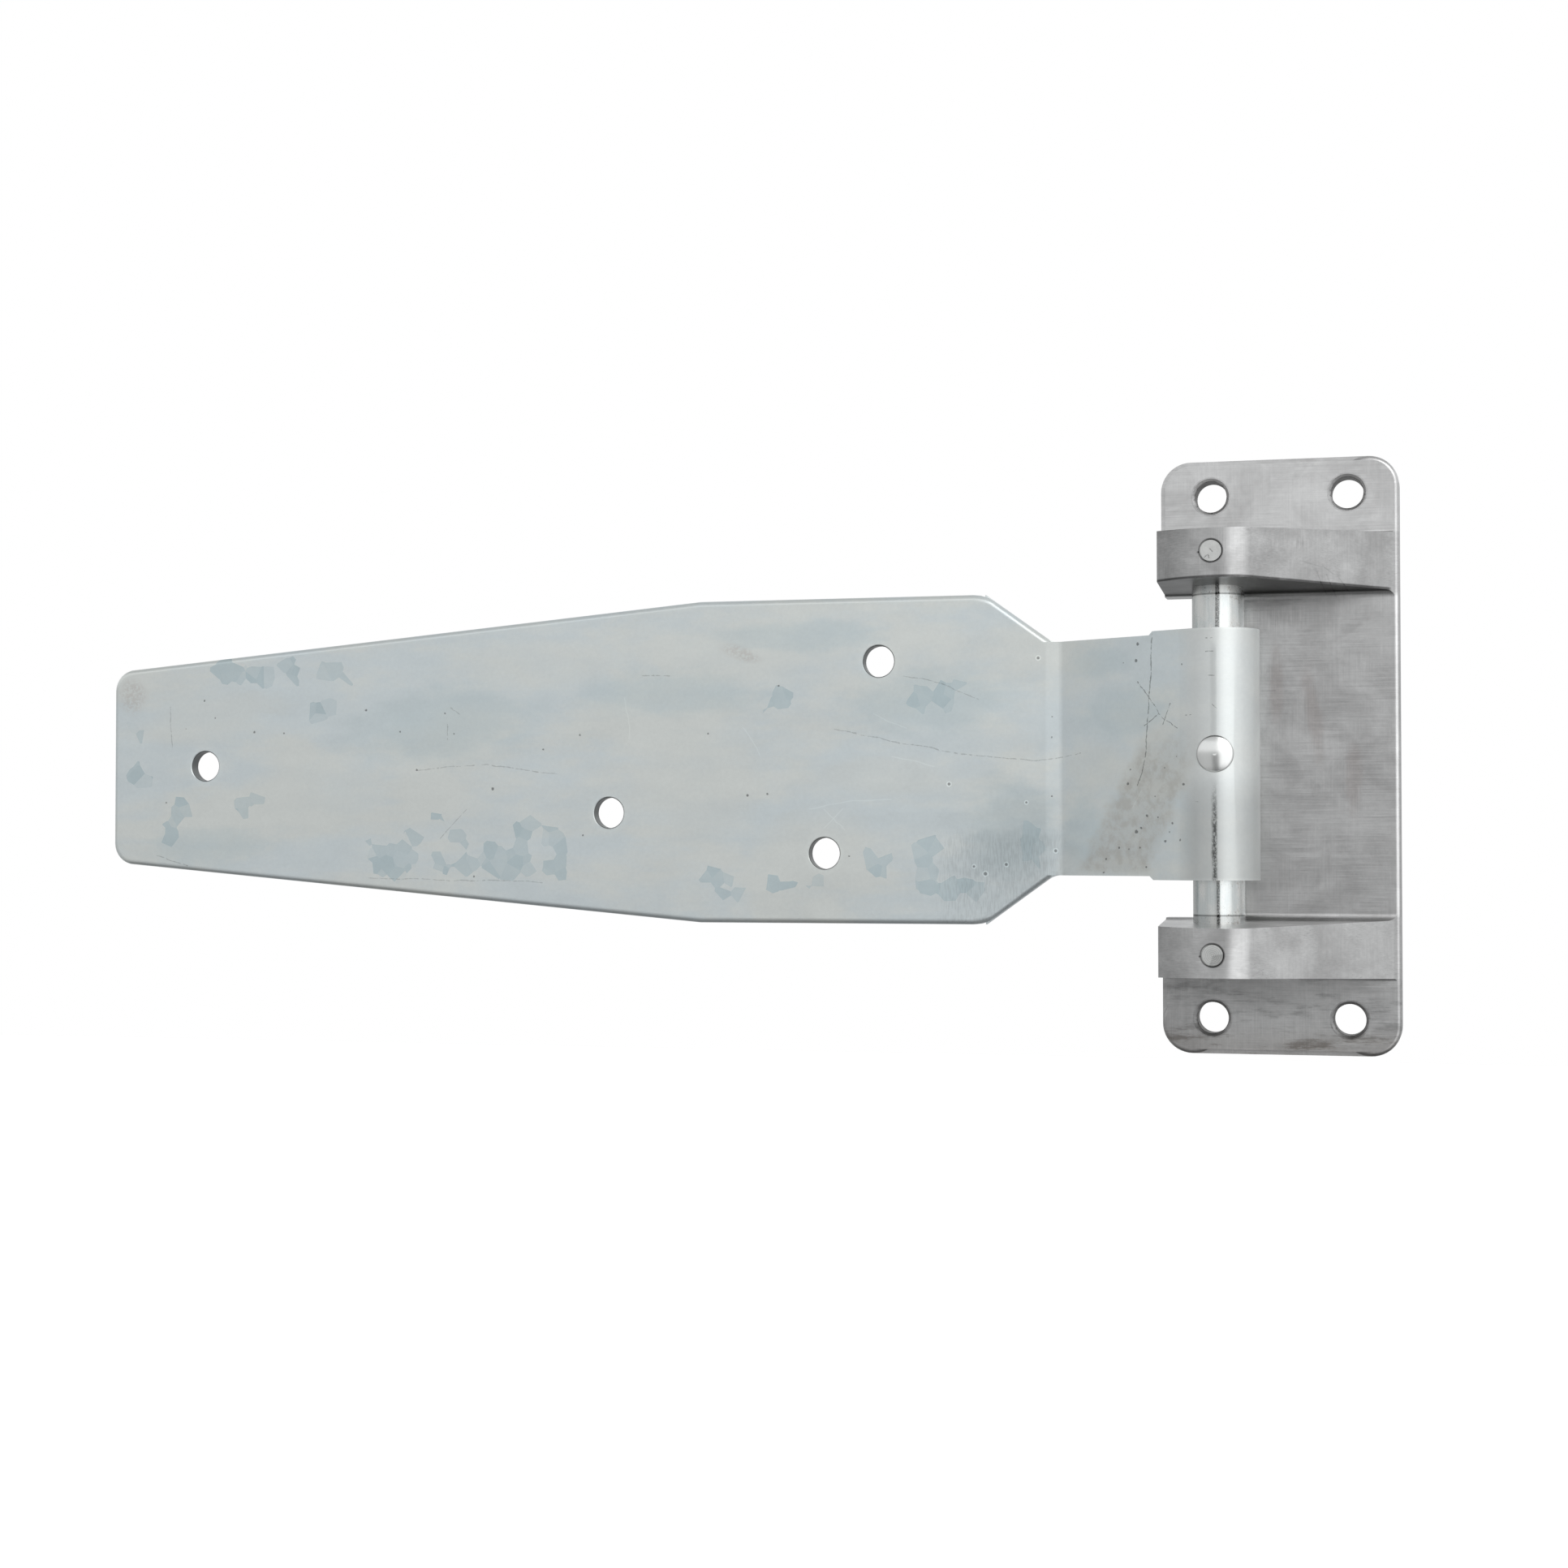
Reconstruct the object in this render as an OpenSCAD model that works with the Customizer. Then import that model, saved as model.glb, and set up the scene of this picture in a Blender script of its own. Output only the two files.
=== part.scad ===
// Heavy-duty strap hinge: a cast two-arm bracket carries a fixed pin,
// and a cranked sheet strap with a rolled knuckle turns on the pin.
// Origin: middle of the bracket's four bolt holes, on its mounting face.
// +X towards the bracket's free side, the strap points to -X.
// -Y is the front, +Z runs up along the pin.

/* [Bracket plate] */
// Width of the bracket plate
plate_w = 78.5; // [70:0.5:100]
// Height of the bracket plate
plate_h = 199; // [190:1:240]
// Thickness of the bracket plate
plate_t = 9; // [6:0.5:9.5]
// Radius of the plate's corners
plate_corner_r = 10; // [4:0.5:14]
// Rounding of the plate's front edges
plate_edge_r = 1.5; // [0.5:0.1:2.5]
// Horizontal distance between bolt holes
bolt_dx = 45; // [36:1:52]
// Distance of the bolt holes from the plate's upper and lower edges
bolt_from_end = 12; // [9:0.5:14]
// Diameter of the bolt holes
bolt_d = 10.5; // [8:0.1:12]
// Width of the chamfer at the bolt holes
bolt_chamfer = 0.9; // [0.3:0.1:1.5]

/* [Bracket arms] */
// Height of each arm's middle plane above or below the origin
arm_z = 64.6; // [62:0.2:68]
// Thickness of an arm at its front
arm_front_t = 16; // [14:0.5:18]
// Draft angle of the arms' inner faces
arm_draft = 3.2; // [1:0.1:4]
// Draft angle of the arms' outer faces
arm_outer_draft = 1.8; // [0.5:0.1:3]
// Distance of the arms' crest from the mounting face
arm_crest = 46; // [42:0.5:50]
// How far the arms' crest lies beyond the pin
crest_beyond_pin = 4; // [2:0.5:8]
// Distance of the arms' front left corner from the mounting face
arm_corner_depth = 38.5; // [35:0.5:40]
// How far the arms' right end lies below the plate's front face
arm_toe_drop = 1.2; // [0.5:0.1:2]
// Rounding where the crest turns into the ramp
crest_r = 14; // [8:0.5:20]
// Inset of the arms' left end from the plate's left edge
arm_end_inset = 1.2; // [0.8:0.1:2]
// Lean of the arms' left end towards the front
arm_end_lean = 0.9; // [0.2:0.1:1.5]
// Fillet between the arms' inner faces and the plate
root_r = 2.4; // [1:0.1:3.5]
// Fillet between the arms' outer faces and the plate
outer_root_r = 0.8; // [0.5:0.1:2]

/* [Hinge pin] */
// Distance of the pin's axis from the plate's left edge
pin_from_edge = 20.25; // [19:0.25:22]
// Distance of the pin's axis from the mounting face
pin_depth = 21.5; // [20.5:0.5:24]
// Diameter of the hinge pin
pin_d = 17; // [15:0.5:17.5]
// Length of the hinge pin
pin_len = 145; // [140:1:146]
// Chamfer at the hinge pin's ends
pin_chamfer = 1; // [0.4:0.1:2]
// Radial clearance of the pin in the arms
seat_gap = 0.02; // [0.01:0.01:0.03]
// Radial clearance of the knuckle on the pin
turn_gap = 0.05; // [0.03:0.01:0.09]

/* [Cross pins] */
// Diameter of the cross pins
cross_d = 7.5; // [5:0.5:8]
// Distance of the cross pins from the arms' middle planes, away from the strap
cross_out = 0.6; // [0:0.1:1.5]
// Depth of solid arm left behind a cross pin
cross_floor = 6; // [4:0.5:8]
// Chamfer at the cross pins' ends
cross_chamfer = 0.3; // [0.1:0.05:0.6]

/* [Strap] */
// Distance from the pin's axis to the strap's tip
strap_len = 415; // [340:5:480]
// Thickness of the strap's sheet
sheet_t = 5; // [4:0.25:5]
// Width of the strap at its tip
tip_w = 72; // [60:1:90]
// Width of the strap's broad end
broad_w = 114; // [104:1:120]
// Distance from the pin's axis to the start of the taper
taper_start = 185; // [170:5:220]
// Distance from the pin's axis to the strap's shoulders
shoulder_at = 81.5; // [76:0.5:92]
// Width of the neck
neck_w = 80; // [70:1:86]
// Distance from the pin's axis to where the shoulders reach the neck
neck_at = 58; // [57.5:0.5:64]
// Distance from the pin's axis to the crank's bend line
bend_at = 55; // [50:0.5:55.5]
// Inner radius of the crank's bend
bend_r = 3; // [1:0.5:5]
// Radius of the tip's corners
tip_r = 8; // [3:0.5:14]
// Radius where the taper meets the broad end
taper_r = 20; // [5:1:30]
// Radius of the shoulders
shoulder_r = 13; // [3:1:18]
// Radius of the corners at the neck
neck_r = 7; // [2:1:9]
// Rounding of the sheet's front edges
sheet_edge_r = 2; // [0.5:0.1:2.2]

/* [Knuckle] */
// Width of the rolled knuckle along the pin
knuckle_w = 82.6; // [82:0.1:90]
// Distance from the pin's axis to the step where the sheet widens
step_at = 22; // [20:0.5:30]
// Gap between the rolled edge and the neck
roll_gap = 0.6; // [0.3:0.1:1.5]
// Diameter of the plug's head
plug_head_d = 12; // [9:0.5:13]
// Diameter of the plug's shank
plug_shank_d = 7; // [5:0.5:8]
// Height of the plug's dome
plug_dome = 1.3; // [0.8:0.1:1.5]
// Depth of the dome's rim below the knuckle's crest
plug_sunk = 0.7; // [0.5:0.05:0.9]
// Depth of the plug's seat below the knuckle's flanks
plug_seat_depth = 0.35; // [0.2:0.05:0.5]
// Radial clearance of the plug's head in its seat
plug_gap = 0.06; // [0.04:0.01:0.1]
// Clearance between the plug's shank and the hinge pin
plug_tip_gap = 0.45; // [0.3:0.05:0.8]

/* [Strap holes] */
// Diameter of the strap's bolt holes
strap_hole_d = 11; // [8:0.1:12]
// Chamfer at the strap's bolt holes
strap_hole_chamfer = 0.4; // [0.2:0.1:0.8]
// Distance of the tip hole from the strap's tip
hole_1_from_tip = 38; // [25:1:60]
// Distance from the pin's axis to the middle hole
hole_2_at = 218; // [190:1:260]
// Offset of the middle hole below the strap's middle
hole_2_down = 18; // [0:0.5:25]
// Distance from the pin's axis to the upper hole of the broad end
hole_3_at = 119; // [110:1:125]
// Offset of the upper hole above the strap's middle
hole_3_up = 34.5; // [25:0.5:40]
// Distance from the pin's axis to the lower hole of the broad end
hole_4_at = 138.5; // [130:0.5:150]
// Offset of the lower hole below the strap's middle
hole_4_down = 32.5; // [25:0.5:40]

/* [Hidden] */
$fn = 96;
cut = 1;

pin_x = -plate_w / 2 + pin_from_edge;
pin_r = pin_d / 2;
bore_r = pin_r + turn_gap;
knuckle_r = bore_r + sheet_t;
plug_seat = pin_depth + sqrt(pow(knuckle_r, 2) - pow(plug_head_d / 2, 2)) - plug_seat_depth;
plug_rim = pin_depth + knuckle_r - plug_sunk;

// The notch between the arms clears the plug's dome when the knuckle turns
plug_reach = max(knuckle_r - plug_sunk + plug_dome, norm([knuckle_r - plug_sunk, plug_head_d / 2]));
notch_gap = 0.35;
notch_x = pin_x + sqrt(pow(plug_reach + notch_gap, 2) - pow(pin_depth - plate_t, 2));
arm_front_in = arm_z - arm_front_t / 2;
arm_base_in = arm_front_in - arm_crest * tan(arm_draft);
arm_front_out = arm_z + arm_front_t / 2;
arm_base_out = arm_front_out + arm_crest * tan(arm_outer_draft);
cross_z = arm_z + cross_out;

// The arms' front bows in an arc from the left corner to the crest
arm_left_x = -plate_w / 2 + arm_end_inset;
arm_crest_x = pin_x + crest_beyond_pin;
bow_run = arm_crest_x - arm_left_x - arm_end_lean;
bow_rise = arm_crest - arm_corner_depth;
bow_r = (pow(bow_run, 2) + pow(bow_rise, 2)) / (2 * bow_rise);

// The crank: the neck leaves the flat strap and runs tangent to the knuckle
crank_leg = [bend_at, pin_depth - sheet_t];
crank_a = atan2(crank_leg[1], crank_leg[0]) + asin(knuckle_r / norm(crank_leg));
bend_front = [pin_x - bend_at, -sheet_t];
bend_back = bend_front + sheet_t * [tan(crank_a / 2), 1];
bend_start_x = bend_front[0] - bend_r * tan(crank_a / 2);
neck_out = [-sin(crank_a), -cos(crank_a)];
tangent_point = [pin_x, -pin_depth] + knuckle_r * neck_out;
roll_start = -90 - crank_a;
roll_overlap_a = 12;
roll_a = 360 - acos(bore_r / knuckle_r) - roll_gap / knuckle_r * 180 / PI;

bolt_z = plate_h / 2 - bolt_from_end;
bolt_places = [for (x = [-1, 1], z = [-1, 1]) [x * bolt_dx / 2, z * bolt_z]];
strap_hole_places = [
    [pin_x - strap_len + hole_1_from_tip, 0],
    [pin_x - hole_2_at, -hole_2_down],
    [pin_x - hole_3_at, hole_3_up],
    [pin_x - hole_4_at, -hole_4_down]
];

// Plane geometry of an outline whose points run anticlockwise
function unit(v) = v / norm(v);
function left(v) = [-v[1], v[0]];
function wrap(i, n) = (i + n) % n;
function side(pts, i) = unit(pts[wrap(i + 1, len(pts))] - pts[i]);
function in_n(pts, i) = left(side(pts, i)) + left(side(pts, wrap(i - 1, len(pts))));
function cosine(pts, i) = side(pts, i) * side(pts, wrap(i - 1, len(pts)));
function inset_point(pts, i, e) = pts[i] + e * in_n(pts, i) / (1 + cosine(pts, i));
function turn(pts, i) = let (a = side(pts, wrap(i - 1, len(pts))), b = side(pts, i))
    atan2(a[0] * b[1] - a[1] * b[0], a * b);
function sgn(pts, i) = turn(pts, i) > 0 ? 1 : -1;
function round_r(pts, rads, i, e) = rads[i] > 0 ? rads[i] - sgn(pts, i) * e : 0;
function reach(pts, rads, i, e) = round_r(pts, rads, i, e) * tan(abs(turn(pts, i)) / 2);
function arc_in(pts, rads, i, e) =
    inset_point(pts, i, e) - side(pts, wrap(i - 1, len(pts))) * reach(pts, rads, i, e);
function arc_out(pts, rads, i, e) = inset_point(pts, i, e) + side(pts, i) * reach(pts, rads, i, e);
function arc_mid(pts, rads, i, e) = arc_in(pts, rads, i, e)
    + sgn(pts, i) * round_r(pts, rads, i, e) * left(side(pts, wrap(i - 1, len(pts))));
function angle_of(v) = atan2(v[1], v[0]);
function reverse(list) = [for (i = [len(list) - 1:-1:0]) list[i]];

// An outline with rounded corners, moved inwards by e
module outline(pts, rads, e = 0) {
    last = len(pts) - 1;
    difference() {
        union() {
            polygon([for (i = [0:last]) each (rads[i] > 0
                ? [arc_in(pts, rads, i, e), arc_out(pts, rads, i, e)]
                : [inset_point(pts, i, e)])]);
            for (i = [0:last]) if (rads[i] > 0 && turn(pts, i) > 0) intersection() {
                translate(arc_mid(pts, rads, i, e)) circle(r = round_r(pts, rads, i, e));
                polygon([arc_mid(pts, rads, i, e), arc_in(pts, rads, i, e),
                    inset_point(pts, i, e), arc_out(pts, rads, i, e)]);
            }
        }
        for (i = [0:last]) if (rads[i] > 0 && turn(pts, i) < 0)
            translate(arc_mid(pts, rads, i, e)) circle(r = round_r(pts, rads, i, e));
    }
}

// A round bar between two points of a plane
module edge_bar(from, to, r) {
    translate([from[0], from[1], 0]) rotate([0, 90, angle_of(to - from)]) cylinder(r = r, h = norm(to - from));
}

// A flat plate with round corners whose upper edges are rounded all the way round
module soft_plate(pts, rads, t, edge_r) {
    last = len(pts) - 1;
    linear_extrude(t - edge_r) outline(pts, rads);
    linear_extrude(t) outline(pts, rads, edge_r);
    translate([0, 0, t - edge_r]) for (i = [0:last]) {
        edge_bar(arc_out(pts, rads, i, edge_r), arc_in(pts, rads, wrap(i + 1, last + 1), edge_r), edge_r);
        translate(arc_mid(pts, rads, i, edge_r))
            rotate_extrude() translate([rads[i] - edge_r, 0]) circle(r = edge_r);
    }
}

// A hole along +Y from the mounting side to depth t, with a chamfered mouth at the front
module front_hole(d, t, chamfer) {
    rotate([90, 0, 0]) {
        translate([0, 0, -cut]) cylinder(d = d, h = t + 2 * cut);
        translate([0, 0, t - chamfer])
            cylinder(r1 = d / 2, r2 = d / 2 + chamfer + cut, h = chamfer + cut);
    }
}

// Cut through by x and depth, seen from above: the side view of an arm
module arm_side() {
    right_x = plate_w / 2;
    corner = [arm_left_x + arm_end_lean, arm_corner_depth];
    toe = [right_x, plate_t - arm_toe_drop];
    turn_mid = [arm_crest_x, arm_crest - crest_r];
    leg = turn_mid - toe;
    ramp_a = atan2(leg[1], -leg[0]) + asin(crest_r / norm(leg));
    touch = turn_mid + crest_r * [sin(ramp_a), cos(ramp_a)];
    mirror([0, 1]) {
        polygon([[arm_left_x, 0], [right_x, 0], toe, touch, [arm_crest_x, arm_crest], corner]);
        intersection() {
            translate([arm_crest_x, arm_crest - bow_r]) circle(r = bow_r, $fn = 240);
            translate([corner[0], 0]) square([bow_run, arm_crest + cut]);
        }
        intersection() {
            translate(turn_mid) circle(r = crest_r);
            translate([arm_crest_x, 0]) square([bow_run, arm_crest + cut]);
        }
    }
}

// Section of an arm by depth and height, with the fillets at its root
module arm_section() {
    low = arm_base_in - root_r * 2;
    high = arm_base_out + outer_root_r * 2;
    pts = [
        [0, low], [plate_t, low],
        [plate_t, arm_base_in + plate_t * tan(arm_draft)], [arm_crest + cut, arm_front_in + cut * tan(arm_draft)],
        [arm_crest + cut, arm_front_out - cut * tan(arm_outer_draft)],
        [plate_t, arm_base_out - plate_t * tan(arm_outer_draft)], [plate_t, high], [0, high]
    ];
    mirror([1, 0]) outline(pts, [0, 0, root_r, 0, 0, outer_root_r, 0, 0]);
}

module arm() {
    intersection() {
        translate([0, 0, arm_z]) linear_extrude(arm_z, center = true) arm_side();
        rotate([90, 0, 90]) translate([0, 0, -plate_w]) linear_extrude(2 * plate_w) arm_section();
    }
}

module bracket() {
    half_w = plate_w / 2;
    half_h = plate_h / 2;
    corners = [[-half_w, -half_h], [half_w, -half_h], [half_w, half_h], [-half_w, half_h]];
    color("silver") difference() {
        union() {
            difference() {
                rotate([90, 0, 0])
                    soft_plate(corners, [for (i = [0:3]) plate_corner_r], plate_t, plate_edge_r);
                translate([-plate_w, -plate_t - cut, -arm_base_in])
                    cube([plate_w + notch_x, plate_t + 2 * cut, 2 * arm_base_in]);
                // Beside the arms' left ends the plate steps back to them
                translate([-plate_w, -plate_t - cut, -arm_base_out])
                    cube([plate_w + arm_left_x, plate_t + 2 * cut, 2 * arm_base_out]);
            }
            arm();
            mirror([0, 0, 1]) arm();
        }
        // Below the arms' inner faces the fillets stop at the notch
        translate([-plate_w, -arm_crest, -arm_base_in])
            cube([plate_w + notch_x, arm_crest + cut, 2 * arm_base_in]);
        for (p = bolt_places) translate([p[0], 0, p[1]]) front_hole(bolt_d, plate_t, bolt_chamfer);
        translate([pin_x, -pin_depth, -plate_h / 2]) cylinder(r = pin_r + seat_gap, h = plate_h);
        for (s = [-1, 1]) translate([pin_x, 0, s * cross_z]) cross_hole(seat_gap, arm_crest + cut);
    }
}

// The blind hole of a cross pin, and with no gap the space the pin fills
module cross_hole(gap, top) {
    floor_depth = pin_depth - pin_r - cross_floor;
    rotate([90, 0, 0]) translate([0, 0, floor_depth - gap]) cylinder(r = cross_d / 2 + gap, h = top - floor_depth + gap);
}

module hinge_pin() {
    color("gainsboro") difference() {
        translate([pin_x, -pin_depth, -pin_len / 2]) {
            cylinder(r1 = pin_r - pin_chamfer, r2 = pin_r, h = pin_chamfer);
            translate([0, 0, pin_chamfer]) cylinder(r = pin_r, h = pin_len - 2 * pin_chamfer);
            translate([0, 0, pin_len - pin_chamfer]) cylinder(r1 = pin_r, r2 = pin_r - pin_chamfer, h = pin_chamfer);
        }
        for (s = [-1, 1]) translate([pin_x, 0, s * cross_z]) cross_hole(seat_gap, arm_crest);
    }
}

// A cross pin ends flush with the arm's bowed front
module cross_pin() {
    back = pin_depth - pin_r - cross_floor;
    front = arm_crest - bow_r + sqrt(pow(bow_r, 2) - pow(crest_beyond_pin, 2));
    pin_length = front - back;
    color("lightgray") translate([pin_x, -back, 0]) rotate([90, 0, 0]) {
        cylinder(r1 = cross_d / 2 - cross_chamfer, r2 = cross_d / 2, h = cross_chamfer);
        translate([0, 0, cross_chamfer]) cylinder(d = cross_d, h = pin_length - 2 * cross_chamfer);
        translate([0, 0, pin_length - cross_chamfer])
            cylinder(r1 = cross_d / 2, r2 = cross_d / 2 - cross_chamfer, h = cross_chamfer);
    }
}

module upper_cross_pin() {
    translate([0, 0, cross_z]) cross_pin();
}

module lower_cross_pin() {
    translate([0, 0, -cross_z]) cross_pin();
}

// A low disc with a rounded upper edge: one corner of the leaf
module leaf_corner(place, r) {
    translate(place) rotate_extrude($fn = 32) {
        square([r, sheet_t - sheet_edge_r]);
        translate([r - sheet_edge_r, sheet_t - sheet_edge_r]) intersection() {
            circle(r = sheet_edge_r);
            square(sheet_edge_r);
        }
    }
}

// The flat, tapered leaf, up to the bend
module strap_leaf() {
    half = [
        [pin_x - strap_len, tip_w / 2],
        [pin_x - taper_start, broad_w / 2],
        [pin_x - shoulder_at, broad_w / 2],
        [pin_x - neck_at, neck_w / 2]
    ];
    rads = [tip_r, taper_r, shoulder_r, sheet_edge_r + 0.1];
    pts = concat([for (p = half) [p[0], -p[1]]], reverse(half));
    all_rads = concat(rads, reverse(rads));
    rotate([90, 0, 0]) {
        hull() for (i = [0:len(pts) - 1]) leaf_corner(arc_mid(pts, all_rads, i, 0), all_rads[i]);
        linear_extrude(sheet_t - sheet_edge_r) neck_fillets(half);
    }
}

// Rounded inner corners between the shoulders and the neck
module neck_fillets(half) {
    corner = [
        [pin_x - shoulder_at, broad_w / 2], [pin_x - neck_at, neck_w / 2], [bend_start_x, neck_w / 2],
        [bend_start_x, 0], [pin_x - shoulder_at, 0]
    ];
    rads = [0, neck_r, 0, 0, 0];
    for (m = [0, 1]) mirror([0, m]) outline(reverse(corner), reverse(rads));
}

// The crank seen along the pin: flat start, bend, slanted neck
module crank_profile() {
    inner_touch = [pin_x, -pin_depth] + bore_r * neck_out;
    overlap_a = roll_start + roll_overlap_a;
    inside = [pin_x, -pin_depth] + (bore_r + sheet_t / 2) * [cos(overlap_a), sin(overlap_a)];
    flat_x = pin_x - shoulder_at;
    pts = [[flat_x, 0], [flat_x, -sheet_t], bend_front, tangent_point, inside, inner_touch, bend_back];
    outline(pts, [0, 0, bend_r, 0, 0, 0, bend_r + sheet_t]);
}

// The rolled knuckle seen along the pin, open by a small gap behind the neck
module roll_profile() {
    far = 3 * knuckle_r;
    first = roll_start + roll_a;
    steps = 4;
    sweep = 360 - roll_a;
    translate([pin_x, -pin_depth]) difference() {
        circle(r = knuckle_r);
        circle(r = bore_r);
        polygon(concat([[0, 0]], [for (i = [0:steps])
            far * [cos(first + sweep * i / steps), sin(first + sweep * i / steps)]]));
    }
}

// Front view of the crank: the neck widens by a chamfered step to the knuckle
module crank_front() {
    step = (knuckle_w - neck_w) / 2;
    step_x = pin_x - step_at;
    half = [
        [pin_x - shoulder_at - cut, neck_w / 2],
        [step_x - step / 2, neck_w / 2],
        [step_x + step / 2, knuckle_w / 2],
        [pin_x + 2 * knuckle_r, knuckle_w / 2]
    ];
    polygon(concat([for (p = half) [p[0], -p[1]]], reverse(half)));
}

module crank() {
    intersection() {
        linear_extrude(2 * knuckle_w, center = true) {
            crank_profile();
            roll_profile();
        }
        rotate([90, 0, 0]) translate([0, 0, -cut]) linear_extrude(3 * pin_depth) crank_front();
    }
}

module strap() {
    color("lightsteelblue") difference() {
        union() {
            strap_leaf();
            crank();
        }
        for (p = strap_hole_places) translate([p[0], 0, p[1]])
            front_hole(strap_hole_d, sheet_t, strap_hole_chamfer);
        translate([pin_x, 0, 0]) rotate([90, 0, 0]) {
            translate([0, 0, pin_depth]) cylinder(r = plug_shank_d / 2 + seat_gap, h = knuckle_r);
            translate([0, 0, plug_seat]) cylinder(r = plug_head_d / 2 + plug_gap, h = knuckle_r);
        }
    }
}

// A turned plug: shank, head and a domed top
module lubrication_plug() {
    dome_r = (pow(plug_head_d / 2, 2) + pow(plug_dome, 2)) / (2 * plug_dome);
    shank_start = pin_depth + pin_r + plug_tip_gap;
    color("gainsboro") translate([pin_x, 0, 0]) rotate([90, 0, 0]) rotate_extrude() {
        translate([0, shank_start]) square([plug_shank_d / 2, plug_seat - shank_start + cut / 2]);
        translate([0, plug_seat]) square([plug_head_d / 2, plug_rim - plug_seat]);
        intersection() {
            translate([0, plug_rim + plug_dome - dome_r]) circle(r = dome_r);
            translate([0, plug_rim - cut / 2]) square([plug_head_d / 2, plug_dome + cut]);
        }
    }
}

bracket();
hinge_pin();
upper_cross_pin();
lower_cross_pin();
strap();
lubrication_plug();
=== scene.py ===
import math

import bmesh
import bpy
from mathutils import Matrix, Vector


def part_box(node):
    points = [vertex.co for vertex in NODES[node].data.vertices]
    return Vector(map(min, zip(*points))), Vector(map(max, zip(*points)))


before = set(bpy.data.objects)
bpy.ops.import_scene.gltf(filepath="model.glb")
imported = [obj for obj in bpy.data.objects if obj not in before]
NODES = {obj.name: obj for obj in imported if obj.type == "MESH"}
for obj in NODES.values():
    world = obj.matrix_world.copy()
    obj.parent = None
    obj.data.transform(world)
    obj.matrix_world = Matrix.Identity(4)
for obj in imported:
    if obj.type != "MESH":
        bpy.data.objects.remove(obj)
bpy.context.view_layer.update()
MM = 0.001


def middle(node):
    """The middle of a solid, in millimetres."""
    return [(a + b) / 2 / MM for a, b in zip(*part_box(node))]


def radius(node):
    """Half the height of a round solid that lies across the hinge, in millimetres."""
    low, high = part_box(node)
    return (high[2] - low[2]) / 2 / MM


# Places that the looks are tied to, in millimetres, from the CAD nodes and the CAD source
PIN_X, PIN_Y, _ = middle("hinge_pin")
UPPER_X, _, UPPER_Z = middle("upper_cross_pin")
LOWER_X, _, LOWER_Z = middle("lower_cross_pin")
CROSS_PINS = [(UPPER_X, UPPER_Z), (LOWER_X, LOWER_Z)]
CROSS_R = radius("upper_cross_pin")
PLUG_R = radius("lubrication_plug")
PLATE_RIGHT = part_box("bracket")[1][0] / MM
PLATE_T = 9
SHEET_T = 5
BOLTS = [(x, z) for x in (-22.5, 22.5) for z in (-87.5, 87.5)]
BOLT_R = 5.25
STRAP_HOLES = [(PIN_X - 377, 0), (PIN_X - 218, -18), (PIN_X - 119, 34.5), (PIN_X - 138.5, -32.5)]
STRAP_HOLE_R = 5.5
# The arms: heights of their inner and outer faces at the plate, lean of the inner ones,
# depth of the crest
ARM_IN, ARM_OUT = 54.6, 73.8
ARM_DRAFT = 0.056
ARM_CREST = 46
# The knuckle's end, and the ring on the pin between it and the arm, above the middle
KNUCKLE_END = 41.3
PIN_RING = 52.8
# The strap's neck starts at the crease and comes forward by this much per mm to the right
CREASE_X = PIN_X - 55
NECK_SLOPE = 0.585

# Where the bright window stands in the room, in degrees right of the front
WINDOW = (14, 50)
# The floor's half side and its height, in metres
FLOOR_SIZE, FLOOR_Z = 4.0, -0.42


class Value:
    """A shader socket that can be used in Python expressions."""

    def __init__(self, nodes, socket):
        self.nodes = nodes
        self.socket = socket

    def __add__(self, other):
        return self.nodes.math("ADD", self, other)

    def __sub__(self, other):
        return self.nodes.math("SUBTRACT", self, other)

    def __rsub__(self, other):
        return self.nodes.math("SUBTRACT", other, self)

    def __mul__(self, other):
        return self.nodes.math("MULTIPLY", self, other)

    def __neg__(self):
        return self * -1.0

    def __abs__(self):
        return self.nodes.math("ABSOLUTE", self)

    __radd__ = __add__


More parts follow.
